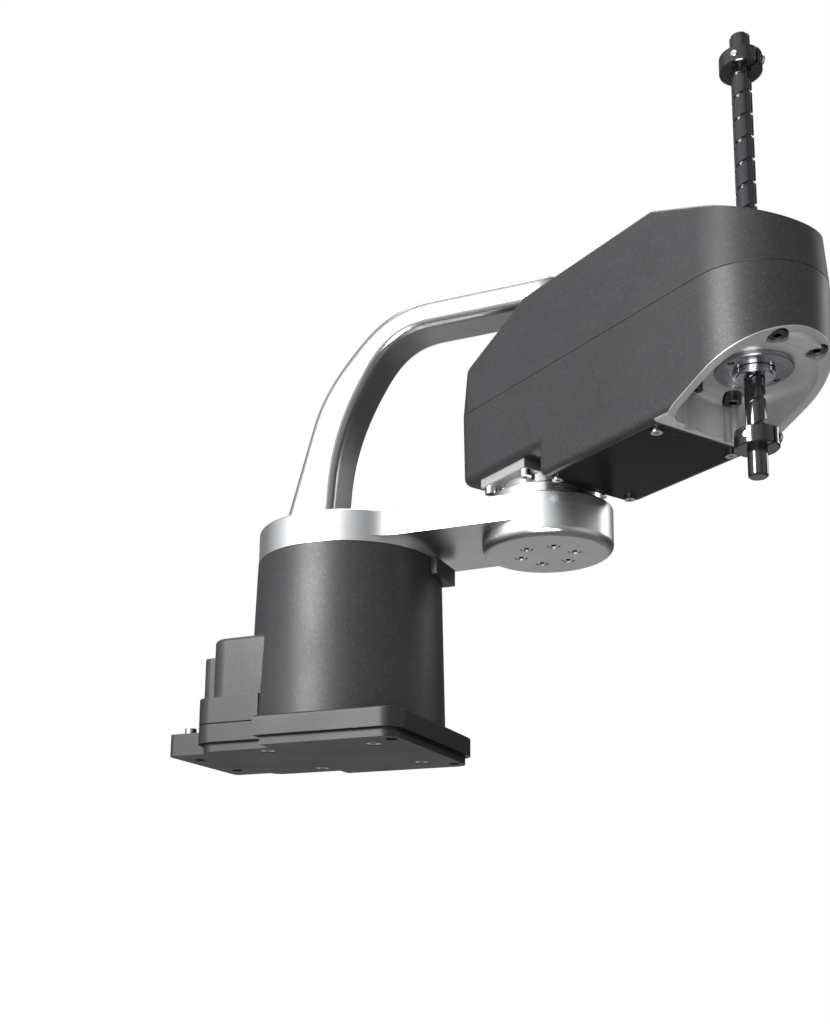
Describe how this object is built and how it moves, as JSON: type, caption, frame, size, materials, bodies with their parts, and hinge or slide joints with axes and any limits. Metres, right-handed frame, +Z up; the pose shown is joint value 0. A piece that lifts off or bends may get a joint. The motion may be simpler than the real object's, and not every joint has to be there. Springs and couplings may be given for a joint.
{
  "type": "four-axis scara robot arm",
  "caption": "Small four-axis SCARA robot: two arms turning on upright joints carry a screw-and-spline shaft that lifts and turns a tool, with a cable arch over the elbow.",
  "frame": {"origin": "centre of the mounting face on the axis of the first joint", "axes": "+Z up along the joints' axes, +X to the front of the base, towards the elbow at rest"},
  "size_m": [0.313, 0.1443, 0.271],
  "materials": {
    "charcoal_coat": "textured satin powder coat",
    "plinth_coat": "smooth satin coat",
    "machined_aluminium": "brushed",
    "arch_paint": "satin silver",
    "cast_nose": "cast, lightly polished",
    "shaft_steel": "dark polished",
    "collar_black": "gloss",
    "screw_steel": "polished",
    "plate_black": "gloss",
    "bearing_steel": "ground",
    "motor_black": "satin",
    "belt_rubber": "matt",
    "socket_plastic": "matt",
    "board_green": "matt",
    "seal_rubber": "matt"
  },
  "bodies": {
    "base": {"base_casting": "charcoal_coat", "base_plate": "plinth_coat", "base_plate_screws": "screw_steel", "rear_panel": "machined_aluminium", "power_socket": "socket_plastic", "network_sockets": "socket_plastic", "io_socket": "socket_plastic", "earth_screw": "screw_steel", "j1_seal_ring": "seal_rubber", "j1_motor": "motor_black", "j1_reducer": "bearing_steel"},
    "inner_arm": {"link1_casting": "machined_aluminium", "j1_output_flange": "bearing_steel", "hub_screws": "screw_steel", "arch_foot": "arch_paint", "arch_foot_screws": "screw_steel", "arch_duct": "arch_paint", "arch_swivel": "arch_paint", "j2_output_ring": "machined_aluminium", "elbow_screws": "screw_steel"},
    "outer_arm": {"j2_reducer_ring": "bearing_steel", "j2_flange_block": "machined_aluminium", "flange_screws": "screw_steel", "lower_casing": "charcoal_coat", "upper_cover": "charcoal_coat", "cover_screws": "screw_steel", "roof_collar": "collar_black", "underside_plate": "plate_black", "underside_plate_screws": "screw_steel", "nose_screws": "screw_steel", "bearing_plate": "cast_nose", "spindle_frame": "cast_nose", "spline_bearings": "bearing_steel", "screw_bearing": "bearing_steel", "j2_motor": "motor_black", "j3_motor": "motor_black", "j4_motor": "motor_black", "j3_belt": "belt_rubber", "j4_belt": "belt_rubber", "motor_bed": "machined_aluminium", "bed_screws": "screw_steel", "motor_bolts": "screw_steel", "drive_board": "board_green", "board_screws": "screw_steel"},
    "spline_drive": {"spline_nut": "bearing_steel", "ring_nut": "bearing_steel", "spline_pulley": "machined_aluminium"},
    "shaft": {"spindle": "shaft_steel", "lower_collar": "collar_black", "upper_collar": "collar_black", "lower_collar_screw": "screw_steel", "upper_collar_screw": "screw_steel"},
    "screw_drive": {"screw_nut": "bearing_steel", "screw_pulley": "machined_aluminium"},
    "j3_rotor": {"j3_motor_pulley": "bearing_steel"},
    "j4_rotor": {"j4_motor_pulley": "bearing_steel"}
  },
  "joints": [
    {"name": "j1_shoulder", "type": "hinge", "parent": "base", "child": "inner_arm", "pos_m": [0, 0, 0.092], "axis": [0, 0, 1], "range_deg": [-140, 140]},
    {"name": "j2_elbow", "type": "hinge", "parent": "inner_arm", "child": "outer_arm", "pos_m": [0.1, 0, 0.113], "axis": [0, 0, 1], "range_deg": [-107, 173]},
    {"name": "j4_roll", "type": "hinge", "parent": "outer_arm", "child": "spline_drive", "pos_m": [0.20483, -0.06808, 0.1], "axis": [0, 0, 1], "continuous": true},
    {"name": "j3_lift", "type": "slide", "parent": "spline_drive", "child": "shaft", "axis": [0, 0, 1], "range_m": [-0.064, 0.02]},
    {"name": "screw_nut_spin", "type": "hinge", "parent": "outer_arm", "child": "screw_drive", "pos_m": [0.20483, -0.06808, 0.1], "axis": [0, 0, 1], "range_deg": [-721, 2305]},
    {"name": "j3_motor_spin", "type": "hinge", "parent": "outer_arm", "child": "j3_rotor", "pos_m": [0.14193, -0.02723, 0.15], "axis": [0, 0, 1], "range_deg": [-1144.53, 3660.29]},
    {"name": "j4_motor_spin", "type": "hinge", "parent": "outer_arm", "child": "j4_rotor", "pos_m": [0.16877, -0.04466, 0.15], "axis": [0, 0, 1], "continuous": true}
  ],
  "couplings": [
    {"joint": "screw_nut_spin", "follows": "j3_lift", "rad_per_m": -628.32},
    {"joint": "j3_motor_spin", "follows": "j3_lift", "rad_per_m": -997.92},
    {"joint": "j4_motor_spin", "follows": "j4_roll", "ratio": 1.5882}
  ]
}
